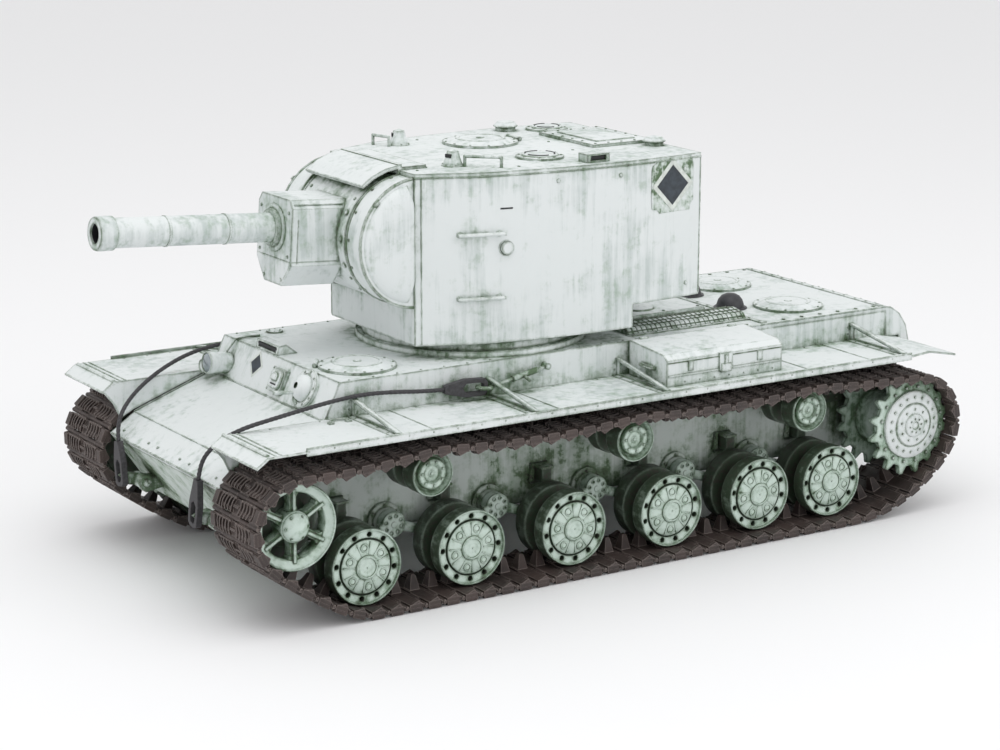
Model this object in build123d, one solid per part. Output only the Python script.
from build123d import *
import math
import os

# A 1/16 scale radio-controlled heavy tank with a tall slab-sided turret, in millimetres.
# +X is forwards, +Y is the tank's left and +Z is up. The origin is on the ground, midway
# between the muzzle and the rearmost track link.

# Running gear, given for the left side and mirrored for the right
TRACK_Y = 82.5              # centre line of a track
TRACK_WIDTH = 43.7
WHEEL_X = (132.4, 75.3, 17.2, -40.7, -95.1, -141.4)
WHEEL_R = 18.3
WHEEL_Z = 22.6
ROLLER_X = (97.9, -16.8, -124.2)
ROLLER_R = 10.8
ROLLER_Z = 62.6
IDLER_R = 20.7
IDLER_Z = 48.5
SPROCKET_X = -191.3
SPROCKET_Z = 46.4
SPROCKET_TEETH = 16
TOOTH_ROOT_R = 22.4
TOOTH_TIP_R = 26.9
HALF_WIDTH = 12.5           # half the width of a wheel across its two discs
HORN_GAP = 4.0              # half the gap between two discs, where the guide horns run
ARM_REACH = 28.0            # a swing arm's pivot lies this far ahead of its wheel
ARM_PIVOT_Z = 32.0

# Track links, measured from the line of the track pins
PITCH = 10.1
LINKS = 88
LINK_IN = 1.5               # from the pin line to the face that the wheels run on
LINK_OUT = 1.1              # from the pin line to the outer face of the plate
CLEAT_OUT = 2.25            # from the pin line to the ground
HORN_HEIGHT = 7.2
TONGUE = 0.9                # a hinge tongue reaches this far past its pin
CUT_BACK = 1.6              # the next link's plate stops this far short of the pin
PLAY = 0.8                  # room between a link and a return roller
LIFT_X = -150.0             # the slack rear run leaves the ground here
FRONT_ARC_R = 30.0          # the track's bend under the first road wheel

# Hull
HULL_Y = 59.0               # half width of the hull
WALL = 2.5
BELLY_Z = 28.0
TUB_TOP = 82.0
ROOF_Z = 102.0
DECK_Z = 100.5
DECK_FRONT = -43.5
REAR_X = -213.0
FENDER_Y = 104.4
FENDER_Z = 84.3
FENDER_T = 1.0

# Turret and gun
TURRET_X = 17.5             # the turret turns about this upright line
RING_R = 46.0
TURRET_FLOOR = 109.3
BUSTLE_FLOOR = 121.0
TURRET_TOP = 191.0
ROOF_T = 2.0
TURRET_FRONT = 74.5
NOTCH_X = -38.5
TURRET_REAR = -81.0
TRUNNION_X = 72.5
TRUNNION_Z = 159.6
SHIELD_R = 31.0
SHIELD_Y = 25.8
GUN_TILT = 3.7              # the gun's elevation at rest, in degrees
GUN_OFFSET = 3.2            # the barrel's axis passes this far above the trunnions
BARREL_R = 7.1
BARREL_END = 149.0          # from the trunnions to the muzzle, along the barrel
HOUSING_END = 55.5
HOUSING_Y = 17.0

# Fits, as radial clearances
RUNNING = 0.05
GAP = 0.4

CABLE_D = 2.0

parts = {}


def block(x0, x1, y0, y1, z0, z1):
    """A rectangular block between two opposite corners."""
    return Pos((x0 + x1) / 2, (y0 + y1) / 2, (z0 + z1) / 2) * Box(x1 - x0, y1 - y0, z1 - z0)


def rod(start, end, radius):
    """A round rod from one point to another."""
    axis = Vector(*end) - Vector(*start)
    return Solid.make_cylinder(radius, axis.length, Plane(origin=Vector(*start), z_dir=axis))


def cone(start, end, start_radius, end_radius):
    """A tapered round rod from one point to another."""
    axis = Vector(*end) - Vector(*start)
    plane = Plane(origin=Vector(*start), z_dir=axis)
    return Solid.make_cone(start_radius, end_radius, axis.length, plane)


def side_prism(outline, y0, y1):
    """An (x, z) outline carried across the hull from y0 to y1."""
    wire = Wire.make_polygon([Vector(x, y0, z) for x, z in outline], close=True)
    return extrude(Face(wire), amount=y1 - y0, dir=(0, 1, 0))


def plan_prism(outline, z0, z1):
    """An (x, y) outline carried up from z0 to z1."""
    wire = Wire.make_polygon([Vector(x, y, z0) for x, y in outline], close=True)
    return extrude(Face(wire), amount=z1 - z0, dir=(0, 0, 1))


def cross_prism(outline, x0, x1):
    """A (y, z) outline carried forwards from x0 to x1."""
    wire = Wire.make_polygon([Vector(x0, y, z) for y, z in outline], close=True)
    return extrude(Face(wire), amount=x1 - x0, dir=(1, 0, 0))


def turned(profile):
    """A (radius, y) profile turned about the Y axis."""
    face = Face(Wire.make_polygon([Vector(r, y, 0) for r, y in profile], close=True))
    return revolve(face, axis=Axis.Y)


def ring_of(count, radius, y0, y1, hole_radius, phase=0.0):
    """Short rods along Y, evenly spaced on a circle about the Y axis."""
    rods = []
    for index in range(count):
        angle = math.radians(phase + 360.0 * index / count)
        x, z = radius * math.cos(angle), radius * math.sin(angle)
        rods.append(rod((x, y0, z), (x, y1, z), hole_radius))
    return rods


def keep(name, *solids):
    """Records the solids that make up one node."""
    found = []
    for item in solids:
        found.extend(item.solids())
    parts[name] = Compound(children=found)


def both_sides(name, *solids):
    """A node with the left-hand solids and their mirror images on the right."""
    mirrored = [item.mirror(Plane.XZ) for item in solids]
    keep(name, *solids, *mirrored)


def left_and_right(stem, suffix, *solids):
    """Two nodes, one for each side."""
    keep(f"{stem}_left{suffix}", *solids)
    keep(f"{stem}_right{suffix}", *[item.mirror(Plane.XZ) for item in solids])


# ---------------------------------------------------------------- the track's path

PIN_Z = CLEAT_OUT           # height of the pins of the links on the ground
PATH_STEP = 0.25            # spacing of the points that stand for the path


def chord_radius(rolling_radius):
    """Radius of the pins of a link whose middle bears on a wheel."""
    return math.hypot(rolling_radius + GAP + LINK_IN, PITCH / 2)


def sprocket_radius():
    """Pitch radius at which each tooth takes one link."""
    return PITCH / (2 * math.sin(math.pi / SPROCKET_TEETH))


def lift_radius():
    """Radius of the slack rear run, which leaves the ground level and meets the sprocket."""
    radius = sprocket_radius()
    height = SPROCKET_Z - PIN_Z
    return ((LIFT_X - SPROCKET_X) ** 2 + height ** 2 - radius ** 2) / (2 * (height - radius))


def guides(idler_x):
    """The arcs that the pins follow, clockwise from the sprocket: centre x, z and radius."""
    arcs = [(SPROCKET_X, SPROCKET_Z, sprocket_radius())]
    arcs += [(x, ROLLER_Z, ROLLER_R + LINK_IN + PLAY) for x in reversed(ROLLER_X)]
    arcs.append((idler_x, IDLER_Z, chord_radius(IDLER_R)))
    arcs.append((WHEEL_X[0], PIN_Z + FRONT_ARC_R, FRONT_ARC_R))
    arcs.append((LIFT_X, PIN_Z, 0.0))
    return arcs


# Radius of the free run after each guide: negative sags towards the wheels, positive
# hangs slack away from them, and None is straight.
SPANS = (-700.0, -560.0, -560.0, -420.0, 190.0, None, lift_radius())


def free_run(first, second, bend):
    """Where the run between two guides leaves the first and meets the second."""
    (x1, z1, r1), (x2, z2, r2) = first, second
    if bend is None:
        return None, (x1, z1 - r1), (x2, z2 - r2)
    d1, d2 = abs(bend - r1), abs(bend - r2)
    apart = math.hypot(x2 - x1, z2 - z1)
    ux, uz = (x2 - x1) / apart, (z2 - z1) / apart
    along = (d1 * d1 - d2 * d2 + apart * apart) / (2 * apart)
    off = math.sqrt(d1 * d1 - along * along)
    side = 1.0 if bend < 0 else -1.0
    centre = (x1 + ux * along - uz * off * side, z1 + uz * along + ux * off * side)
    ends = []
    for x, z, r in (first, second):
        reach = math.hypot(x - centre[0], z - centre[1])
        scale = abs(bend) / reach
        ends.append((centre[0] + (x - centre[0]) * scale, centre[1] + (z - centre[1]) * scale))
    return centre, ends[0], ends[1]


def arc_points(centre, start, end, clockwise):
    """Closely spaced points along an arc."""
    a = math.atan2(start[1] - centre[1], start[0] - centre[0])
    b = math.atan2(end[1] - centre[1], end[0] - centre[0])
    sweep = (b - a) % (2 * math.pi)
    if clockwise:
        sweep -= 2 * math.pi
    radius = math.hypot(start[0] - centre[0], start[1] - centre[1])
    count = max(2, int(abs(sweep) * radius / PATH_STEP))
    angles = [a + sweep * step / count for step in range(count + 1)]
    return [(centre[0] + radius * math.cos(t), centre[1] + radius * math.sin(t)) for t in angles]


def line_points(start, end):
    """Closely spaced points along a straight run."""
    count = max(2, int(math.dist(start, end) / PATH_STEP))
    steps = [index / count for index in range(count + 1)]
    return [(start[0] + (end[0] - start[0]) * t, start[1] + (end[1] - start[1]) * t) for t in steps]


def track_path(idler_x):
    """The closed line of the track pins, starting where the track leaves the sprocket."""
    arcs = guides(idler_x)
    runs = [free_run(arcs[i], arcs[(i + 1) % len(arcs)], SPANS[i]) for i in range(len(arcs))]
    points = []
    for index, (centre, start, end) in enumerate(runs):
        if centre is None:
            points += line_points(start, end)
        else:
            points += arc_points(centre, start, end, clockwise=SPANS[index] > 0)
        arc = arcs[(index + 1) % len(arcs)]
        points += arc_points((arc[0], arc[1]), end, runs[(index + 1) % len(runs)][1], True)
    return points


def next_on(points, index, origin, reach):
    """The point of the path at a straight distance from the origin, and where it is."""
    while True:
        a, b = points[index % len(points)], points[(index + 1) % len(points)]
        if math.dist(b, origin) >= reach:
            low, high = 0.0, 1.0
            for _ in range(40):
                middle = (low + high) / 2
                spot = (a[0] + (b[0] - a[0]) * middle, a[1] + (b[1] - a[1]) * middle)
                if math.dist(spot, origin) < reach:
                    low = middle
                else:
                    high = middle
            return index, spot
        index += 1


def track_pins(idler_x):
    """The pins of one track, from the rearmost one, and the distance left at the end."""
    points = track_path(idler_x)
    first = (SPROCKET_X - sprocket_radius(), SPROCKET_Z)
    start = min(range(len(points)), key=lambda i: math.dist(points[i], first))
    points = points[start:] + points[:start]
    pins = [first]
    index = 0
    while len(pins) < LINKS:
        index, spot = next_on(points, index, pins[-1], PITCH)
        pins.append(spot)
    left = math.dist(pins[-1], first)
    return pins, left if pins[-1][1] < first[1] else -left


def tensioned():
    """Moves the idler until the track closes with a whole number of equal links."""
    low, high = 160.0, 182.0
    for _ in range(40):
        middle = (low + high) / 2
        pins, left = track_pins(middle)
        if left < PITCH:
            low = middle
        else:
            high = middle
    return middle, pins


# ---------------------------------------------------------------- tracks


def link_outline():
    """Plan of a link, with hinge tongues at the front and between them at the rear."""
    edges = (-TRACK_WIDTH / 2, -13.1, -4.4, 4.4, 13.1, TRACK_WIDTH / 2)
    side_gap = 0.15
    half = PITCH / 2
    points = []
    for band in range(5):
        low, high = edges[band], edges[band + 1]
        if band % 2 == 0:
            points += [(half + TONGUE, low + side_gap), (half + TONGUE, high - side_gap)]
        else:
            points += [(half - CUT_BACK, low - side_gap), (half - CUT_BACK, high + side_gap)]
    for band in reversed(range(5)):
        low, high = edges[band], edges[band + 1]
        if band % 2 == 1:
            points += [(-half - TONGUE, high - side_gap), (-half - TONGUE, low + side_gap)]
        else:
            points += [(CUT_BACK - half, high - side_gap), (CUT_BACK - half, low + side_gap)]
    return points


def track_link():
    """One link about the middle of its two pins, with its guide horn pointing up."""
    link = plan_prism(link_outline(), -LINK_OUT, LINK_IN)
    for side in (-1, 1):
        link -= block(-2.6, 2.6, side * 13.0 - 2.4, side * 13.0 + 2.4, -LINK_OUT - 1, LINK_IN + 1)
        link += block(-2.9, 2.9, side * 18.8 - 2.4, side * 18.8 + 2.4, -CLEAT_OUT, -LINK_OUT)
    link += block(-2.9, 2.9, -9.0, 9.0, -CLEAT_OUT, -LINK_OUT)
    link += Pos(0, 0, LINK_IN) * extrude(Rectangle(5.2, 6.0), amount=HORN_HEIGHT, taper=12)
    return link.solids()[0]


def tracks(pins):
    """Both tracks: the same link laid from pin to pin round the whole path."""
    link = track_link()
    laid = []
    for index, start in enumerate(pins):
        end = pins[(index + 1) % len(pins)]
        angle = math.degrees(math.atan2(end[1] - start[1], end[0] - start[0]))
        middle = ((start[0] + end[0]) / 2, TRACK_Y, (start[1] + end[1]) / 2)
        laid.append(Location(middle, (0, -angle, 0)) * Location((0, 0, 0), (180, 0, 0)) * link)
    left_and_right("track", "", *laid)


# ---------------------------------------------------------------- wheels

AXLE_R = 2.4


def disc_wheel(radius, rim, drum_r, bore_r, half_width):
    """Two dished discs either side of a short drum, the outer one closed by a cap."""
    face = half_width - 3.0
    back = -HALF_WIDTH
    boss_r = bore_r + 3.4
    inner = turned([
        (bore_r, back), (boss_r, back), (boss_r, back + 3.0), (radius - rim, back + 3.0),
        (radius - rim, back), (radius, back), (radius, -HORN_GAP), (bore_r, -HORN_GAP),
    ])
    drum = turned([
        (bore_r, -HORN_GAP), (drum_r, -HORN_GAP), (drum_r, HORN_GAP), (bore_r, HORN_GAP),
    ])
    outer = turned([
        (bore_r, HORN_GAP), (radius, HORN_GAP), (radius, half_width), (radius - rim, half_width),
        (radius - rim, face), (boss_r, face), (boss_r, half_width + 0.3), (0, half_width + 0.3),
        (0, half_width - 2.0), (bore_r, half_width - 2.0),
    ])
    return inner, drum, outer


def placed(solids, x, z):
    """The solids of a wheel, moved to their place on the left side."""
    return [Pos(x, TRACK_Y, z) * item for item in solids]


def road_wheels():
    """Twelve pressed wheels, each with twelve holes round its outer disc."""
    inner, drum, outer = disc_wheel(WHEEL_R, 1.2, 9.0, AXLE_R + RUNNING, HALF_WIDTH)
    for hole in ring_of(12, 14.9, HORN_GAP, HALF_WIDTH, 1.15, 15.0):
        outer -= hole
    for number, x in enumerate(WHEEL_X, 1):
        left_and_right("road_wheel", f"_{number}", *placed((inner, drum, outer), x, WHEEL_Z))


def return_rollers():
    """Six small twin rollers that carry the top run."""
    roller = disc_wheel(ROLLER_R, 1.2, 3.4, 1.7 + RUNNING, 14.5)
    for number, x in enumerate(ROLLER_X, 1):
        left_and_right("return_roller", f"_{number}", *placed(roller, x, ROLLER_Z))


def idlers(x):
    """Front idler wheels with six windows between broad spokes."""
    inner, drum, outer = disc_wheel(IDLER_R, 3.0, 12.0, 3.0 + RUNNING, 15.0)
    for window in ring_of(6, 12.9, HORN_GAP, 16.0, 3.1, 30.0):
        outer -= window
    left_and_right("idler", "", *placed((inner, drum, outer), x, IDLER_Z))


def toothed_ring(y0, y1):
    """A ring of teeth about the Y axis, with a tooth midway between two pins."""
    outline = []
    step = 2 * math.pi / SPROCKET_TEETH
    for tooth in range(SPROCKET_TEETH):
        angle = (tooth + 0.5) * step
        for r, t in ((TOOTH_ROOT_R, -2.6), (TOOTH_TIP_R, -0.9), (TOOTH_TIP_R, 0.9), (TOOTH_ROOT_R, 2.6)):
            x = r * math.cos(angle) - t * math.sin(angle)
            z = r * math.sin(angle) + t * math.cos(angle)
            outline.append((x, z))
    return side_prism(outline, y0, y1)


SHAFT_R = 3.5
SHAFT_END = 45.0            # the drive shaft reaches this far into its gearbox


def sprockets():
    """Rear drive sprockets: two toothed rings on a drum, with a cover, bolts and a shaft."""
    cover = toothed_ring(11.7, 14.3)
    cover += turned([(0, 14.0), (17.6, 14.0), (17.2, 15.2), (10.0, 16.4), (0, 17.0)])
    for bolt in ring_of(16, 20.0, 14.0, 15.0, 0.8, 11.25):
        cover += bolt
    drum = turned([(0, -11.7), (15.5, -11.7), (15.5, 11.7), (0, 11.7)])
    back = toothed_ring(-14.3, -11.7)
    shaft = rod((0, SHAFT_END - TRACK_Y, 0), (0, -14.3, 0), SHAFT_R)
    left_and_right("sprocket", "", *placed((cover, drum, back, shaft), SPROCKET_X, SPROCKET_Z))


# ---------------------------------------------------------------- suspension

HUB_IN = HULL_Y + 5.2       # a swing arm's hub lies just outside its sleeve
HUB_OUT = HULL_Y + 10.3


def swing_arms():
    """Twelve trailing arms, each with its pivot in the hull and an axle at its tip."""
    for number, wheel_x in enumerate(WHEEL_X, 1):
        pivot_x = wheel_x + ARM_REACH
        arm = rod((pivot_x, HULL_Y - 7, ARM_PIVOT_Z), (pivot_x, HUB_IN, ARM_PIVOT_Z), 3.5)
        arm += rod((pivot_x, HUB_IN, ARM_PIVOT_Z), (pivot_x, HUB_OUT, ARM_PIVOT_Z), 6.4)
        middle = (HUB_IN + HUB_OUT) / 2
        arm += cone((pivot_x, middle, ARM_PIVOT_Z), (wheel_x, middle, WHEEL_Z), 2.5, 2.4)
        arm += rod((wheel_x, HUB_IN, WHEEL_Z), (wheel_x, HUB_OUT, WHEEL_Z), 4.2)
        arm += rod((wheel_x, HUB_OUT, WHEEL_Z), (wheel_x, TRACK_Y + 9.8, WHEEL_Z), AXLE_R)
        left_and_right("swing_arm", f"_{number}", arm)


def hull_side_fittings(idler_x):
    """Sleeves, bump stops, roller posts, idler cranks and final drives on the left side."""
    fittings = []
    for wheel_x in WHEEL_X:
        x = wheel_x + ARM_REACH
        sleeve = rod((x, HULL_Y - 1, ARM_PIVOT_Z), (x, HULL_Y + 1.2, ARM_PIVOT_Z), 8.6)
        sleeve += rod((x, HULL_Y, ARM_PIVOT_Z), (x, HUB_IN - GAP, ARM_PIVOT_Z), 6.0)
        fittings.append(sleeve)
    for wheel_x in WHEEL_X:
        x = wheel_x - 2.0
        stop = block(x - 5, x + 5, HULL_Y - 1, HULL_Y + 0.9, 37, 47.5)
        stop += block(x - 2.6, x + 2.6, HULL_Y, HULL_Y + 8, 39, 46)
        fittings.append(stop)
    for x in ROLLER_X:
        post = rod((x, HULL_Y - 1, ROLLER_Z), (x, HULL_Y + 6, ROLLER_Z), 4.5)
        post += rod((x, HULL_Y, ROLLER_Z), (x, TRACK_Y + 12.0, ROLLER_Z), 1.7)
        fittings.append(post)
    crank = rod((idler_x, HULL_Y - 1, IDLER_Z), (idler_x, HULL_Y + 7, IDLER_Z), 7.5)
    crank += rod((idler_x, HULL_Y, IDLER_Z), (idler_x, TRACK_Y + 12.0, IDLER_Z), 3.0)
    housing = cone((SPROCKET_X, HULL_Y - 1, SPROCKET_Z), (SPROCKET_X, 66.5, SPROCKET_Z), 19, 15)
    scraper = block(-178, -146, HULL_Y - 1, HULL_Y + 3, 54, 59)
    return fittings + [crank, housing, scraper]


# ---------------------------------------------------------------- hull

GLACIS = ((138.0, 82.8), (176.7, 69.0), (190.0, 60.0))
PLATE_T = 2.5


def lower_hull(idler_x):
    """The open-topped tub, and the mounts of the running gear that are fastened to its sides."""
    under = [(x, z - PLATE_T) for x, z in GLACIS[:2]]
    ridge = (188.5, 58.0)
    outer = [ridge, (167.5, BELLY_Z), (-190, BELLY_Z), (-206, 42), (REAR_X, 60),
             (REAR_X, TUB_TOP), (135, TUB_TOP), under[0], under[1]]
    inner = [(183.5, 59), (165.9, BELLY_Z + WALL), (-188.7, BELLY_Z + WALL), (-203.8, 43.2),
             (REAR_X + WALL, 60.6), (REAR_X + WALL, 90), (140, 90), (176.5, 72)]
    tub = side_prism(outer, -HULL_Y, HULL_Y) - side_prism(inner, WALL - HULL_Y, HULL_Y - WALL)
    bores = Compound(children=[
        rod((x + ARM_REACH, 50, ARM_PIVOT_Z), (x + ARM_REACH, 80, ARM_PIVOT_Z), 3.5 + RUNNING)
        for x in WHEEL_X
    ] + [rod((SPROCKET_X, 50, SPROCKET_Z), (SPROCKET_X, 90, SPROCKET_Z), 4.0)])
    mounts = [fitting - tub - bores for fitting in hull_side_fittings(idler_x)]
    both_sides("axle_mounts", *mounts)
    tub = tub - bores - bores.mirror(Plane.XZ)
    keep("lower_hull", tub)
    return tub


FRONT_TOP_X = 126.0         # the driver's plate leans back from the glacis to here
FRONT_FOOT = (134.2, 84.3)
HULL_HATCH = (103.0, 35.0)
HULL_HATCH_R = 19.0
HULL_HINGE_TURN = -35.0     # the hull hatch's hinge lies on its front right
PLUG = (102.1, -50.8)


def upper_hull():
    """Glacis, driver's plate, side plates and front roof, with the turret ring's collar."""
    outer = [(FRONT_TOP_X, ROOF_Z), FRONT_FOOT, (135.0, TUB_TOP), (-204, TUB_TOP),
             (-204, DECK_Z - WALL), (DECK_FRONT, DECK_Z - WALL), (DECK_FRONT, ROOF_Z)]
    inner = [(FRONT_TOP_X - 3.4, ROOF_Z - WALL), (131.2, 84.0), (131.9, TUB_TOP - 1),
             (-201.5, TUB_TOP - 1), (-201.5, DECK_Z), (DECK_FRONT - 3, DECK_Z),
             (DECK_FRONT - 3, ROOF_Z - WALL)]
    shell = side_prism(outer, -HULL_Y, HULL_Y) - side_prism(inner, WALL - HULL_Y, HULL_Y - WALL)
    under = [(x, z - PLATE_T) for x, z in GLACIS[:2]]
    glacis = side_prism([*GLACIS, (188.5, 58.0), under[1], under[0], (135.0, TUB_TOP), FRONT_FOOT],
                        -HULL_Y, HULL_Y)
    shell += glacis
    ring = Solid.make_cylinder(55, 6.9, Plane(origin=(TURRET_X, 0, ROOF_Z)))
    step = Solid.make_cylinder(58, 3.0, Plane(origin=(TURRET_X, 0, ROOF_Z)))
    shell += ring + step
    shell -= Solid.make_cylinder(RING_R, 20, Plane(origin=(TURRET_X, 0, 95)))
    shell -= Solid.make_cylinder(HULL_HATCH_R - 3, 10, Plane(origin=(*HULL_HATCH, 95)))
    shell += Solid.make_cylinder(4.2, 0.8, Plane(origin=(*PLUG, ROOF_Z)))
    keep("upper_hull", shell)
    return shell


def rear_tail():
    """The rounded rear overhang of the engine deck, open below for the cooling air."""
    outer = [(-204, DECK_Z), (-208.5, 99.4), (-213.5, 96.0), (-218.4, 89.1), (-220.9, 79.4)]
    inner = [(-218.6, 79.4), (-216.3, 88.4), (-212.0, 94.2), (-207.8, 97.1), (-204, DECK_Z - WALL)]
    tail = side_prism(outer + inner, -HULL_Y, HULL_Y)
    cheek = [*outer, (REAR_X - 0.5, 79.4), (REAR_X - 0.5, 84), (-204.2, 84)]
    for y in (-HULL_Y, HULL_Y - 2):
        tail += side_prism(cheek, y, y + 2)
    return tail


def engine_deck():
    """The rear deck plate with a row of bolts along each side and its rounded tail."""
    deck = block(-204, DECK_FRONT, -HULL_Y, HULL_Y, DECK_Z - WALL, DECK_Z) + rear_tail()
    for x in range(-198, -50, 12):
        for side in (-1, 1):
            deck += Solid.make_cylinder(0.9, 0.6, Plane(origin=(x, side * 56, DECK_Z)))
    keep("engine_deck", deck)


def round_lid(x, y, z, radius, rise):
    """A round hatch lid: a flat rim with a shallow raised middle."""
    lid = Solid.make_cylinder(radius, 1.2, Plane(origin=(x, y, z)))
    return lid + Solid.make_cone(radius - 2.5, radius - 6, rise, Plane(origin=(x, y, z + 1.2)))


def lids():
    """The two engine hatches and the hull hatch, which swings open."""
    both_sides("deck_hatches", round_lid(-160.5, 31.0, DECK_Z, 18.5, 1.6))
    lid = round_lid(0, 0, 0, HULL_HATCH_R, 1.4)
    hinge_x = HULL_HATCH_R + 1.0
    lid += rod((hinge_x, -5, 1.2), (hinge_x, 5, 1.2), 1.1)
    keep("hull_hatch", Pos(*HULL_HATCH, ROOF_Z) * Rot(0, 0, HULL_HINGE_TURN) * lid)


def exhausts():
    """Arched air screens beside the engine cover, and the exhaust domes behind them."""
    screen = [(24, DECK_Z), (46, DECK_Z), (43, DECK_Z + 3.2), (35, DECK_Z + 4.6), (27, DECK_Z + 3.2)]
    solid = cross_prism(screen, -122.0, DECK_FRONT - 4)
    dome = turned([(0, 7.6), (3.6, 6.9), (6.2, 4.2), (7.0, 0), (0, 0)])
    dome = Rot(90, 0, 0) * dome
    both_sides("exhausts", solid, Pos(-131.5, 19.0, DECK_Z) * dome)


def fenders():
    """Shelves over the tracks, with a turned-down front flap, a lip and an inner web."""
    t = FENDER_T
    plate = side_prism([(-184, FENDER_Z + t), (-196, FENDER_Z + 2.0), (-213.5, FENDER_Z - 1.5),
                        (-213.5, FENDER_Z - 2.5), (-196, FENDER_Z + 1.0), (-184, FENDER_Z),
                        (168, FENDER_Z), (186.8, FENDER_Z), (193.0, 80.0), (193.6, 80.8),
                        (187.4, FENDER_Z + t), (168, FENDER_Z + t)], HULL_Y + 0.1, FENDER_Y)
    lip = block(-184, 168, FENDER_Y - 0.9, FENDER_Y, FENDER_Z - 1.3, FENDER_Z + 2.3)
    bead = rod((186.8, HULL_Y + 0.1, FENDER_Z + 1.1), (186.8, FENDER_Y - 2, FENDER_Z + 1.1), 0.9)
    web = side_prism([(139.5, FENDER_Z), (139.5, 83.6), (176.9, 70.2), (184.0, 66.5),
                      (187.5, 74.0), (192.8, 80.5), (186.6, FENDER_Z)], HULL_Y + 0.1, HULL_Y + 1.1)
    both_sides("fenders", plate + lip + bead + web, *gussets())


BRACKETS_X = (119.5, 44.5, -31.5, -180.5)


def gussets():
    """Triangular brackets that stand on the left fender, each with a triangular opening."""
    solids = []
    top, foot, rise = FENDER_Z + FENDER_T, FENDER_Y - 1.5, 9.0
    for x in BRACKETS_X:
        outline = [(HULL_Y + 0.1, top), (foot, top), (foot, top + 1.6), (HULL_Y + 0.1, top + rise)]
        opening = [(HULL_Y + 3.4, top + 1.4), (foot - 9, top + 1.4), (HULL_Y + 3.4, top + rise - 2.2)]
        gusset = cross_prism(outline, x - 0.5, x + 0.5) - cross_prism(opening, x - 1, x + 1)
        gusset += cross_prism(outline[2:] + [(HULL_Y + 0.1, top + rise - 0.8), (foot, top + 0.8)], x - 1.3, x + 1.3)
        solids.append(gusset)
    return solids


def tool_box(x0, x1):
    """A stowage box with a lidded, sloping top, a latch and a grab handle."""
    floor = FENDER_Z + FENDER_T
    box = cross_prism([(61.5, floor), (93.5, floor), (93.5, 98.5), (90.0, 101.0), (61.5, 103.0)], x0, x1)
    middle = (x0 + x1) / 2
    box += block(middle - 4, middle + 4, 93.0, 94.4, 90, 99)
    box += block(x0 + 1, x1 - 1, 93.0, 93.9, 90.2, 91.2)
    box += block(x1 - 0.5, x1 + 1.8, 72, 84, 92.5, 94)
    return box


def tool_boxes():
    """One long box on the left fender and two shorter ones on the right."""
    right = [tool_box(-107.8, -37.1), tool_box(-27.0, 7.0)]
    keep("tool_boxes", tool_box(-107.8, -37.1), *[item.mirror(Plane.XZ) for item in right])


# ---------------------------------------------------------------- front fittings


def on_plate(y, height):
    """A point of the driver's plate at a height, and the plate's outward direction."""
    run, rise = FRONT_FOOT[0] - FRONT_TOP_X, ROOF_Z - FRONT_FOOT[1]
    x = FRONT_FOOT[0] - run * (height - FRONT_FOOT[1]) / rise
    return Vector(x, y, height), Vector(rise, 0, run).normalized()


def plate_rod(y, height, low, high, radius, end_radius=None):
    """A round boss standing square to the driver's plate."""
    spot, out = on_plate(y, height)
    start, end = spot + out * low, spot + out * high
    if end_radius is None:
        return rod(tuple(start), tuple(end), radius)
    return cone(tuple(start), tuple(end), radius, end_radius)


def front_fittings(shell):
    """Headlamp, horn, vision port, bow gun in its ball mount, and the roof periscope hood."""
    lamp = plate_rod(-45, 90.5, 0, 4, 1.6) + rod((131, -45, 91), (143, -45, 92.5), 5.4)
    horn = plate_rod(-54.5, 88, -0.1, 3, 1.0) + cone((133, -54.5, 88.0), (141, -54.5, 88.5), 1.4, 3.2)
    spot, out = on_plate(8, 92.5)
    leaned = Plane(origin=spot, x_dir=(0, 1, 0), z_dir=out)
    port = leaned * Box(13, 12, 4.4) + leaned * Pos(0, 0.5, 2.5) * Box(9, 8, 1.4)
    ball = plate_rod(34, 94, -0.1, 1.8, 9.6) + plate_rod(34, 93.5, 1.5, 5.0, 6.6, 4.6)
    gun_start, gun_end = (132, 34.0, 93.0), (146, 30.0, 93.4)
    ball += rod(gun_start, gun_end, 0.9)
    hood = side_prism([(114, ROOF_Z), (125.5, ROOF_Z), (124.5, ROOF_Z + 4.4), (120, ROOF_Z + 4.8)], -26, -4)
    hood -= side_prism([(121, ROOF_Z + 1), (127, ROOF_Z + 1), (127, ROOF_Z + 3.6), (121, ROOF_Z + 3.6)], -24, -6)
    keep("front_fittings", *[item - shell for item in (lamp, horn, port, ball, hood)])


HOOK_X = 186.5
HOOK_Y = 38.0
HOOK_Z = 39.8


def tow_shackles(tub):
    """Bolted hooks on the lower nose plate that hold the eyes of the tow cables."""
    foot = side_prism([(176.2, 41.5), (172.6, 36.2), (183, 34.5), (185, 42.5)], HOOK_Y - 4, HOOK_Y + 4)
    foot += rod((HOOK_X - 3, HOOK_Y - 5.5, HOOK_Z), (HOOK_X - 3, HOOK_Y + 5.5, HOOK_Z), 3.6)
    tongue = side_prism([(184, 37.0), (189.5, 38.6), (194.5, 43.4), (191.5, 44.8), (183, 43)],
                        HOOK_Y + 1.5, HOOK_Y + 3.3)
    both_sides("tow_shackles", foot + tongue - tub, tensioner())


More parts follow.
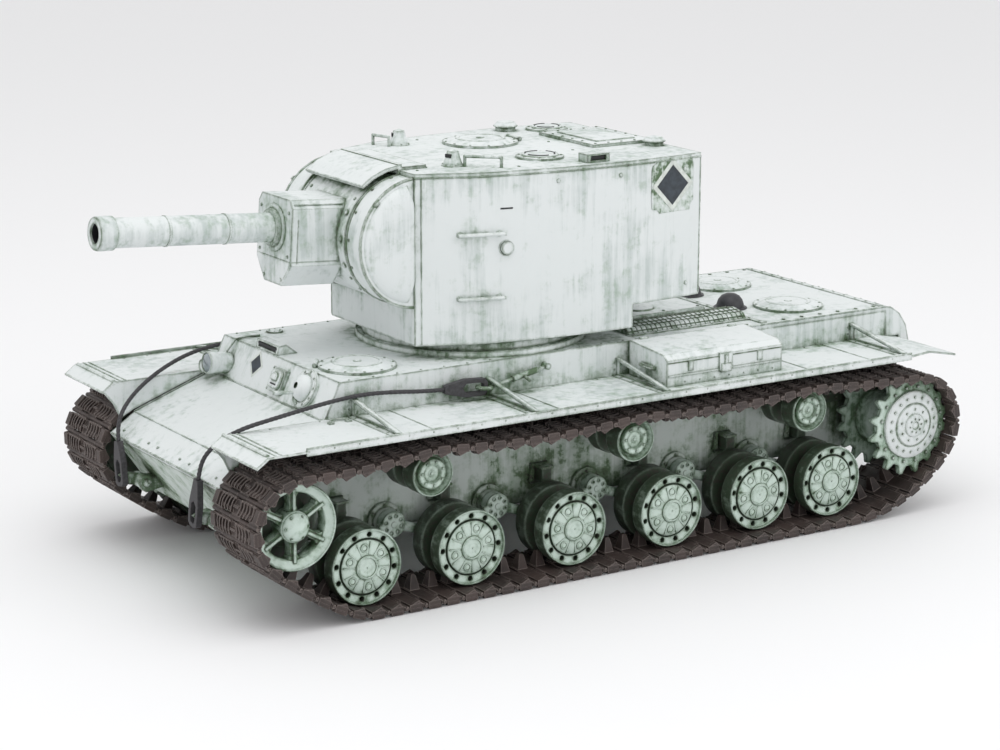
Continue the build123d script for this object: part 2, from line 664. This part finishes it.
def tensioner():
    """The screw rod behind the left side's rear eye, with its clevis, handle and hook."""
    clevis, tip = (12.0, HULL_Y + 2.5, 96.0), (46.5, 64.6, 90.4)
    rear = rod(clevis, tip, 0.9) + rod((12.0, HULL_Y, 96.0), (12.0, HULL_Y + 4.0, 96.0), 1.7)
    rear += rod((18.0, 62.0, 95.0), (33.0, 63.4, 92.6), 1.5)
    rear += rod((26.5, 62.8, 93.6), (26.5, 69.0, 92.0), 0.8)
    bend, turn, point = (48.2, 68.3, 90.8), (53.6, 68.3, 91.6), (54.4, 64.8, 91.8)
    for start, end in ((tip, bend), (bend, turn), (turn, point)):
        rear += rod(start, end, 1.0) + Pos(*start) * Sphere(1.0)
    return rear


# ---------------------------------------------------------------- tow cables


def eye(tip, end, across):
    """A long cable eye: a closed loop with a socket that takes the cable at its end."""
    tip, end, across = Vector(*tip), Vector(*end), Vector(*across)
    axis = (end - tip).normalized()
    normal = axis.cross(across).normalized()
    length = (end - tip).length
    plane = Plane(origin=tip, x_dir=axis, z_dir=normal)
    outline = Polyline((0, -2.2), (1.6, -4.2), (12, -4.4), (length, -1.9), (length, 1.9), (12, 4.4),
                       (1.6, 4.2), (0, 2.2), close=True)
    opening = Polyline((2.0, -1.4), (4.0, -2.3), (11.5, -2.3), (13.5, 0), (11.5, 2.3), (4.0, 2.3),
                       (2.0, 1.4), close=True)
    flat = make_face(outline) - make_face(opening)
    return plane * extrude(flat, amount=1.5, both=True)


LEFT_FRONT_EYE = ((193.0, 39.5, 38.0), (193.3, 45.5, 62.0))
RIGHT_FRONT_EYE = ((193.0, -39.5, 38.0), (193.0, -42.5, 60.0))
REAR_EYE = ((49.0, 65.0, 91.6), (72.0, 63.6, 92.4))

LEFT_ROUTE = ((193.3, 45.5, 62.0), (193.3, 47.4, 69.0), (190.6, 51.0, 76.6), (185.2, 56.6, 83.2),
              (176.8, 61.6, 88.0), (165.5, 63.6, 90.4), (150.5, 62.6, 92.2), (133.0, 62.3, 94.4),
              (115.5, 62.0, 95.6), (98.0, 62.4, 94.6), (84.0, 63.1, 93.0), (72.0, 63.6, 92.4))
RIGHT_ROUTE = ((193.0, -42.5, 60.0), (192.4, -44.4, 66.6), (188.4, -47.6, 73.2), (180.8, -51.8, 79.2),
               (170.6, -56.4, 84.4), (158.6, -60.8, 89.0), (145.0, -62.6, 93.6), (129.5, -62.2, 96.6),
               (113.5, -62.0, 96.2), (98.0, -62.5, 94.6), (84.0, -63.1, 93.1), (72.0, -63.6, 92.4))


def corner_radii(route):
    """The largest arc that each corner of a route has room for."""
    points = [Vector(*spot) for spot in route]
    radii = []
    for before, here, after in zip(points, points[1:], points[2:]):
        turn = math.radians((here - before).get_angle(after - here))
        shorter = min((here - before).length, (after - here).length)
        radii.append(0.45 * shorter / math.tan(turn / 2))
    return radii


def cable(name, route):
    """A tow cable: a tube along straight runs joined by tangent arcs."""
    radii = corner_radii(route)
    print(name, "corner radii", [round(radius, 1) for radius in radii])
    path = FilletPolyline(*route, radius=radii)
    start = Plane(origin=path @ 0, z_dir=path % 0)
    tube = sweep(start * Circle(CABLE_D / 2), path=path)
    print(name, "length", round(path.length, 1), "volume ratio",
          round(tube.volume / (math.pi * CABLE_D ** 2 / 4 * path.length), 4))
    keep(name, tube)


def tow_cables():
    """Both tow cables and the four eyes at their ends."""
    across = (0, 1, 0)
    rear_across = (0, 0, 1)
    mirrored = [(x, -y, z) for x, y, z in REAR_EYE]
    keep("cable_eyes", eye(*LEFT_FRONT_EYE, across), eye(*RIGHT_FRONT_EYE, across),
         eye(*REAR_EYE, rear_across), eye(*mirrored, rear_across))
    cable("tow_cable_left", LEFT_ROUTE)
    cable("tow_cable_right", RIGHT_ROUTE)


# ---------------------------------------------------------------- inside the hull


def drive_units():
    """Two motors with gearboxes, each taking one sprocket's shaft."""
    box = block(-200, -170, 6, 52, 36, 72) - side_prism([(-205, 30), (-187, 30), (-205, 47)], 0, 60)
    box -= rod((SPROCKET_X, SHAFT_END - 1, SPROCKET_Z), (SPROCKET_X, 53, SPROCKET_Z), SHAFT_R + RUNNING)
    motor = rod((-170, 30, 56), (-132, 30, 56), 13.5)
    both_sides("drive_units", box + motor)


def battery_and_radio():
    """The battery pack and the control unit, side by side on the belly."""
    floor = BELLY_Z + WALL
    battery = block(-112, 28, -46, -2, floor, floor + 24)
    control = block(-100, 0, 6, 50, floor, floor + 18)
    keep("battery_and_radio", battery, control)


# ---------------------------------------------------------------- turret


def turret_outline(inset, z):
    """The turret's plan: a narrow front, gently bowed sides and a straight rear."""
    front, half_front = TURRET_FRONT - inset, 41.0 - inset
    rear = TURRET_REAR + inset
    corner, bulge, tail = (46.0 - inset / 2, 53.0 - inset), (-18.0, 61.8 - inset), (rear, 58.5 - inset)
    edges = []
    for side in (1, -1):
        edges.append(Line((front, 0), (front, side * half_front)))
        edges.append(Line((front, side * half_front), (corner[0], side * corner[1])))
        edges.append(ThreePointArc((corner[0], side * corner[1]), (bulge[0], side * bulge[1]),
                                   (tail[0], side * tail[1])))
        edges.append(Line((tail[0], side * tail[1]), (rear, 0)))
    face = make_face(edges)
    return Pos(0, 0, z) * face


DOOR_Z = (128.0, 172.0)
DOOR_Y = 17.0


def turret_shell():
    """Turret walls with the bustle's step, the gun opening, both gun cheeks and the ring."""
    walls = extrude(turret_outline(0, TURRET_FLOOR), amount=TURRET_TOP - TURRET_FLOOR)
    room = extrude(turret_outline(WALL, TURRET_FLOOR + WALL), amount=TURRET_TOP)
    room -= block(-100, NOTCH_X + WALL, -70, 70, 100, BUSTLE_FLOOR + WALL)
    shell = walls - block(-100, NOTCH_X, -70, 70, 100, BUSTLE_FLOOR) - room
    shell += Solid.make_cylinder(RING_R - GAP, 12, Plane(origin=(TURRET_X, 0, 98.5)))
    shell -= Solid.make_cylinder(RING_R - 5, 30, Plane(origin=(TURRET_X, 0, 90)))
    for side in (-1, 1):
        inner, outer = side * (SHIELD_Y + 0.8), side * 40.6
        cheek = rod((TRUNNION_X, inner, TRUNNION_Z), (TRUNNION_X, outer, TRUNNION_Z), SHIELD_R + 0.2)
        cheek -= block(0, TURRET_FRONT - WALL, -60, 60, 100, 200)
        shell += cheek
    shell -= block(60, 80, -SHIELD_Y - 0.8, SHIELD_Y + 0.8, TRUNNION_Z - SHIELD_R - 1, 200)
    for side in (-1, 1):
        pin_hole = rod((TRUNNION_X, side * 20, TRUNNION_Z), (TRUNNION_X, side * 34, TRUNNION_Z), 3 + RUNNING)
        shell -= pin_hole
    shell -= block(TURRET_REAR - 1, TURRET_REAR + 4, -DOOR_Y + 2, DOOR_Y - 2, DOOR_Z[0] + 2, DOOR_Z[1] - 2)
    keep("turret_shell", shell)
    return shell


ROOF_HATCH = (-2.8, -23.7)
ROOF_HATCH_R = 19.3


def gun_shield_roof():
    """The bent lip of the roof that covers the top of the gun's curved shield."""
    outline = []
    for radius, sweep_angles in ((SHIELD_R + 5.2, (86, 74, 62, 50)), (SHIELD_R + 3.4, (50, 62, 74, 86))):
        for degrees in sweep_angles:
            angle = math.radians(degrees)
            outline.append((TRUNNION_X + radius * math.cos(angle), TRUNNION_Z + radius * math.sin(angle)))
    return side_prism(outline, -SHIELD_Y - 2, SHIELD_Y + 2)


def turret_roof():
    """The roof plate, the hood over the gun and the hatch opening."""
    roof = extrude(turret_outline(0, TURRET_TOP), amount=ROOF_T)
    roof -= Solid.make_cylinder(ROOF_HATCH_R - 3, 10, Plane(origin=(*ROOF_HATCH, 188)))
    lip = block(TURRET_FRONT - 1, TURRET_FRONT + 1.2, -SHIELD_Y - 2, SHIELD_Y + 2, TURRET_TOP + 0.2, TURRET_TOP + 5)
    roof += block(60, TURRET_FRONT, -SHIELD_Y - 2, SHIELD_Y + 2, TURRET_TOP + 1, TURRET_TOP + 3.6)
    roof += gun_shield_roof() + lip
    keep("turret_roof", roof)


def rung(z):
    """A grab rung that stands off the left side plate, along its slope."""
    front, rear = (56.5, 51.6, z), (33.8, 58.6, z)
    bar = rod(front, rear, 0.9)
    for x, y in ((54.5, 52.2), (35.8, 58.0)):
        bar += rod((x, y - 5.0, z), (x, y, z), 0.9)
    return bar


def mushroom(x, y, radius, height, z):
    """A low mushroom-shaped vent cap."""
    cap = turned([(0, height), (radius * 0.7, height * 0.85), (radius, height * 0.45),
                  (radius * 0.8, height * 0.3), (radius * 0.8, 0), (0, 0)])
    return Pos(x, y, z) * Rot(90, 0, 0) * cap


def turret_fittings(walls):
    """Rungs, pistol plugs, vents, the vision hood and the rear machine gun."""
    top = TURRET_TOP + ROOF_T
    plug = rod((32.0, 52.0, 155.8), (32.0, 57.4, 155.8), 3.2)
    wall_pieces = [rung(163.2), rung(132.0), plug]
    wall_pieces += [item.mirror(Plane.XZ) for item in wall_pieces]
    solids = [item - walls for item in wall_pieces]
    solids.append(Solid.make_cylinder(12.0, 1.0, Plane(origin=(-3.8, 30, top))))
    solids.append(Solid.make_cylinder(11.0, 1.0, Plane(origin=(-56.5, -44, top))))
    solids.append(block(-79.5, -42.5, -30, 20, top, top + 1.6))
    solids.append(mushroom(-74.0, 28, 6.0, 5.0, top))
    solids.append(mushroom(-36.0, -52, 6.5, 5.5, top))
    hood = block(-26.5, -13.5, 49.5, 57.5, top, top + 4.2) - block(-24.5, -15.5, 54, 58, top + 1, top + 3.4)
    solids.append(hood)
    ball = rod((TURRET_REAR, 6, 178), (TURRET_REAR - 3, 6, 178), 4.0)
    solids.append(ball + rod((TURRET_REAR - 2, 6, 178), (TURRET_REAR - 16, 6, 178), 0.9))
    keep("turret_fittings", *solids)


def periscope(x, y, guard):
    """A domed periscope and the bent guard rail beside it."""
    top = TURRET_TOP + ROOF_T
    dome = turned([(0, 8.2), (2.8, 7.2), (3.6, 4.0), (4.4, 2.0), (4.8, 0), (0, 0)])
    dome = Pos(x, y, top) * Rot(90, 0, 0) * dome
    (ax, ay), (bx, by) = guard
    height = top + 5.0
    rail = rod((ax, ay, top), (ax, ay, height), 0.8) + rod((ax, ay, height), (bx, by, height), 0.8)
    rail += rod((bx, by, top), (bx, by, height), 0.8) + Pos(ax, ay, height) * Sphere(0.8)
    rail += Pos(bx, by, height) * Sphere(0.8)
    return [dome, rail]


def periscopes():
    """The two roof periscopes with their guard rails."""
    right = periscope(35.4, -40.0, ((43.0, -37.0), (46.4, -47.0)))
    left = periscope(45.7, 29.0, ((42.1, 34.2), (28.8, 46.2)))
    keep("periscopes", *right, *left)


def turret_hatches():
    """The roof hatch and the rear door."""
    top = TURRET_TOP + ROOF_T
    lid = round_lid(*ROOF_HATCH, top, ROOF_HATCH_R, 1.4)
    hinge_x = ROOF_HATCH[0] - ROOF_HATCH_R - 1.0
    lid += rod((hinge_x, ROOF_HATCH[1] - 6, top + 1.2), (hinge_x, ROOF_HATCH[1] + 6, top + 1.2), 1.1)
    keep("roof_hatch", lid)
    door = block(TURRET_REAR - 1.8, TURRET_REAR - 0.1, -DOOR_Y, DOOR_Y, *DOOR_Z)
    door += rod((TURRET_REAR - 1.6, DOOR_Y + 1, DOOR_Z[0] + 3), (TURRET_REAR - 1.6, DOOR_Y + 1, DOOR_Z[1] - 3), 1.4)
    keep("rear_door", door)


# ---------------------------------------------------------------- gun

GUN = Location((TRUNNION_X, 0, TRUNNION_Z), (0, -GUN_TILT, 0))


def gun_mantlet():
    """The curved shield on its trunnions with the recoil housing in front."""
    shield = rod((0, -SHIELD_Y, 0), (0, SHIELD_Y, 0), SHIELD_R) - rod((0, -24, 0), (0, 24, 0), SHIELD_R - WALL)
    shield -= block(-40, -4, -40, 40, -40, 40)
    shield += rod((0, -33, 0), (0, -24.5, 0), 3) + rod((0, 24.5, 0), (0, 33, 0), 3)
    low, high = -20.0, 18.2
    outline = [(-HOUSING_Y, high - 4), (-HOUSING_Y + 3, high), (HOUSING_Y - 3, high), (HOUSING_Y, high - 4),
               (HOUSING_Y, low + 7), (HOUSING_Y - 7, low), (7 - HOUSING_Y, low), (-HOUSING_Y, low + 7)]
    housing = cross_prism(outline, 20, HOUSING_END) - cross_prism([(y * 0.82, z * 0.82) for y, z in outline], 15, 50)
    housing -= rod((0, -24, 0), (0, 24, 0), SHIELD_R - WALL)
    sleeve = rod((24, 0, GUN_OFFSET), (HOUSING_END + 3, 0, GUN_OFFSET), BARREL_R + 1.8)
    mantlet = shield + housing + sleeve
    mantlet -= rod((6, 0, GUN_OFFSET), (80, 0, GUN_OFFSET), BARREL_R + RUNNING)
    for side in (-1, 1):
        for degrees in (24, 0, -24):
            angle = math.radians(degrees)
            x, z = SHIELD_R * math.cos(angle), SHIELD_R * math.sin(angle)
            mantlet += rod((x * 0.97, side * 21.5, z * 0.97), (x * 1.03, side * 21.5, z * 1.03), 1.3)
    keep("gun_mantlet", GUN * mantlet)


def gun_barrel():
    """The barrel, which recoils through the mantlet, with two joint rings and a muzzle ring."""
    start = (8, 0, GUN_OFFSET)
    barrel = rod(start, (BARREL_END, 0, GUN_OFFSET), BARREL_R)
    for x in (82.0, 113.0):
        barrel += rod((x, 0, GUN_OFFSET), (x + 1.0, 0, GUN_OFFSET), BARREL_R + 0.25)
    barrel += rod((BARREL_END - 8, 0, GUN_OFFSET), (BARREL_END, 0, GUN_OFFSET), BARREL_R + 0.6)
    barrel -= rod((BARREL_END - 60, 0, GUN_OFFSET), (BARREL_END + 1, 0, GUN_OFFSET), 4.8)
    keep("gun_barrel", GUN * barrel)


def build():
    """Makes every node and writes it to its own file."""
    idler_x, pins = tensioned()
    print("idler x", round(idler_x, 2))
    tracks(pins)
    road_wheels()
    return_rollers()
    idlers(idler_x)
    sprockets()
    swing_arms()
    tub = lower_hull(idler_x)
    shell = upper_hull()
    engine_deck()
    lids()
    exhausts()
    fenders()
    tool_boxes()
    front_fittings(shell)
    tow_shackles(tub)
    tow_cables()
    drive_units()
    battery_and_radio()
    walls = turret_shell()
    turret_roof()
    turret_fittings(walls)
    periscopes()
    turret_hatches()
    gun_mantlet()
    gun_barrel()
    os.makedirs("parts", exist_ok=True)
    for name, solid in parts.items():
        export_step(solid, f"parts/{name}.step")
    print(len(parts), "nodes")


build()
